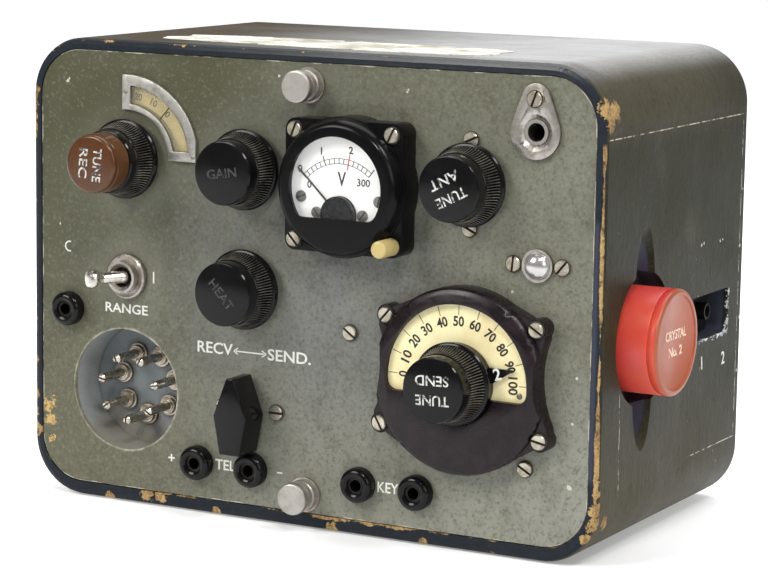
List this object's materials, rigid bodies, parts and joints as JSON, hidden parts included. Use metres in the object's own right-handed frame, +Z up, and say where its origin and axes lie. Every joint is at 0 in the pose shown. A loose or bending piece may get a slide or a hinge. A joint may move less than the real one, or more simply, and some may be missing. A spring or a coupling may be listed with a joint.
{
  "type": "portable shortwave radio station",
  "caption": "Portable shortwave radio station in a rounded olive wooden case, with a control panel of knobs, meter, dials and sockets and a red plug-in crystal in its side.",
  "frame": {"origin": "The middle of the case's flat underside.", "axes": "X runs along the width, right seen from the front. Y runs into the depth, so the control panel faces minus Y. Z is up."},
  "size_m": [0.232, 0.1466, 0.162],
  "materials": {
    "olive_wood": "matt olive paint over plywood, chipped to bare wood at the edges",
    "bare_wood": "unpainted",
    "panel_enamel": "worn olive-grey enamel",
    "black_bakelite": "moulded, rubbed and dusty",
    "brown_bakelite": "moulded",
    "cream_scale": "yellowed",
    "white_card": "printed card",
    "white_lens": "milk white",
    "steel": "nickelled, dulled",
    "dark_metal": "matt dark",
    "aluminium": "brushed",
    "brass": "dulled",
    "red_plastic": "moulded",
    "clear": "clear",
    "valve_glass": "silvered inside"
  },
  "bodies": {
    "station": {"case_boards": "olive_wood", "right_board": "olive_wood", "corner_posts": "olive_wood", "back_board": "olive_wood", "fixing_blocks": "bare_wood", "socket_plate": "brown_bakelite", "contact_tubes": "brass", "front_panel": "panel_enamel", "window_frame": "aluminium", "window_pane": "clear", "escutcheon": "black_bakelite", "transmitter_scale": "cream_scale", "panel_screws": "steel", "selector_switch": "brown_bakelite", "meter_case": "black_bakelite", "meter_cover": "black_bakelite", "meter_dial": "white_card", "meter_glass": "clear", "meter_movement": "steel", "dial_screws": "steel", "button_contact": "brown_bakelite", "toggle_bush": "steel", "toggle_nut": "steel", "toggle_body": "brown_bakelite", "connector_cup": "dark_metal", "pin_bushes": "steel", "connector_pins": "brass", "socket_heads": "black_bakelite", "lamp_bush": "steel", "lamp_lens": "white_lens", "terminal_plate": "steel", "terminal_bush": "steel", "thumb_washers": "steel", "variable_capacitors": "aluminium", "rheostat": "brown_bakelite", "chassis": "aluminium", "valves": "valve_glass"},
    "receiver_control": {"receiver_knob": "black_bakelite", "receiver_cap": "brown_bakelite", "receiver_shaft": "steel", "scale_disc": "cream_scale"},
    "feedback_control": {"feedback_knob": "black_bakelite", "feedback_shaft": "steel"},
    "filament_control": {"filament_knob": "black_bakelite", "filament_shaft": "steel"},
    "antenna_control": {"antenna_knob": "black_bakelite", "antenna_shaft": "steel"},
    "transmitter_control": {"transmitter_knob": "black_bakelite", "transmitter_pointer": "black_bakelite", "transmitter_shaft": "steel"},
    "selector_control": {"selector_knob": "black_bakelite", "selector_shaft": "steel"},
    "toggle": {"toggle_lever": "steel"},
    "button": {"range_button": "cream_scale"},
    "needle": {"meter_needle": "dark_metal"},
    "upper_thumb_screw": {"thumb_screw_top": "steel"},
    "lower_thumb_screw": {"thumb_screw_bottom": "steel"},
    "crystal": {"crystal_holder": "red_plastic", "crystal_pins": "steel"}
  },
  "joints": [
    {"name": "receiver_turn", "type": "hinge", "parent": "station", "child": "receiver_control", "pos_m": [-0.07, -0.0606, 0.1215], "axis": [0, 1, 0], "range_deg": [0, 180]},
    {"name": "feedback_turn", "type": "hinge", "parent": "station", "child": "feedback_control", "pos_m": [-0.022, -0.0606, 0.121], "axis": [0, 1, 0], "range_deg": [-90, 90]},
    {"name": "filament_turn", "type": "hinge", "parent": "station", "child": "filament_control", "pos_m": [-0.0218, -0.0606, 0.0802], "axis": [0, 1, 0], "range_deg": [0, 280]},
    {"name": "antenna_turn", "type": "hinge", "parent": "station", "child": "antenna_control", "pos_m": [0.0625, -0.0606, 0.1217], "axis": [0, 1, 0], "range_deg": [-90, 90]},
    {"name": "transmitter_turn", "type": "hinge", "parent": "station", "child": "transmitter_control", "pos_m": [0.0624, -0.0606, 0.0578], "axis": [0, 1, 0], "range_deg": [-162, 14]},
    {"name": "selector_turn", "type": "hinge", "parent": "station", "child": "selector_control", "pos_m": [-0.0202, -0.0606, 0.038], "axis": [0, 1, 0], "range_deg": [-45, 45]},
    {"name": "toggle_tip", "type": "hinge", "parent": "station", "child": "toggle", "pos_m": [-0.0704, -0.0631, 0.0803], "axis": [0, 0, 1], "range_deg": [0, 60]},
    {"name": "button_press", "type": "slide", "parent": "station", "child": "button", "axis": [0, 1, 0], "range_m": [0, 0.003], "stiffness_N_per_m": 300, "springref_m": -0.001},
    {"name": "needle_swing", "type": "hinge", "parent": "station", "child": "needle", "pos_m": [0.02, -0.0722, 0.1096], "axis": [0, 1, 0], "range_deg": [0, 87], "stiffness_Nm_per_rad": 0.00002, "springref_deg": -17.19},
    {"name": "upper_thumb_screw_turn", "type": "hinge", "parent": "station", "child": "upper_thumb_screw", "pos_m": [0.0018, -0.0606, 0.1506], "axis": [0, 1, 0], "continuous": true},
    {"name": "lower_thumb_screw_turn", "type": "hinge", "parent": "station", "child": "lower_thumb_screw", "pos_m": [0.0018, -0.0606, 0.0116], "axis": [0, 1, 0], "continuous": true},
    {"name": "crystal_pull", "type": "slide", "parent": "station", "child": "crystal", "axis": [1, 0, 0], "range_m": [0, 0.014]}
  ]
}
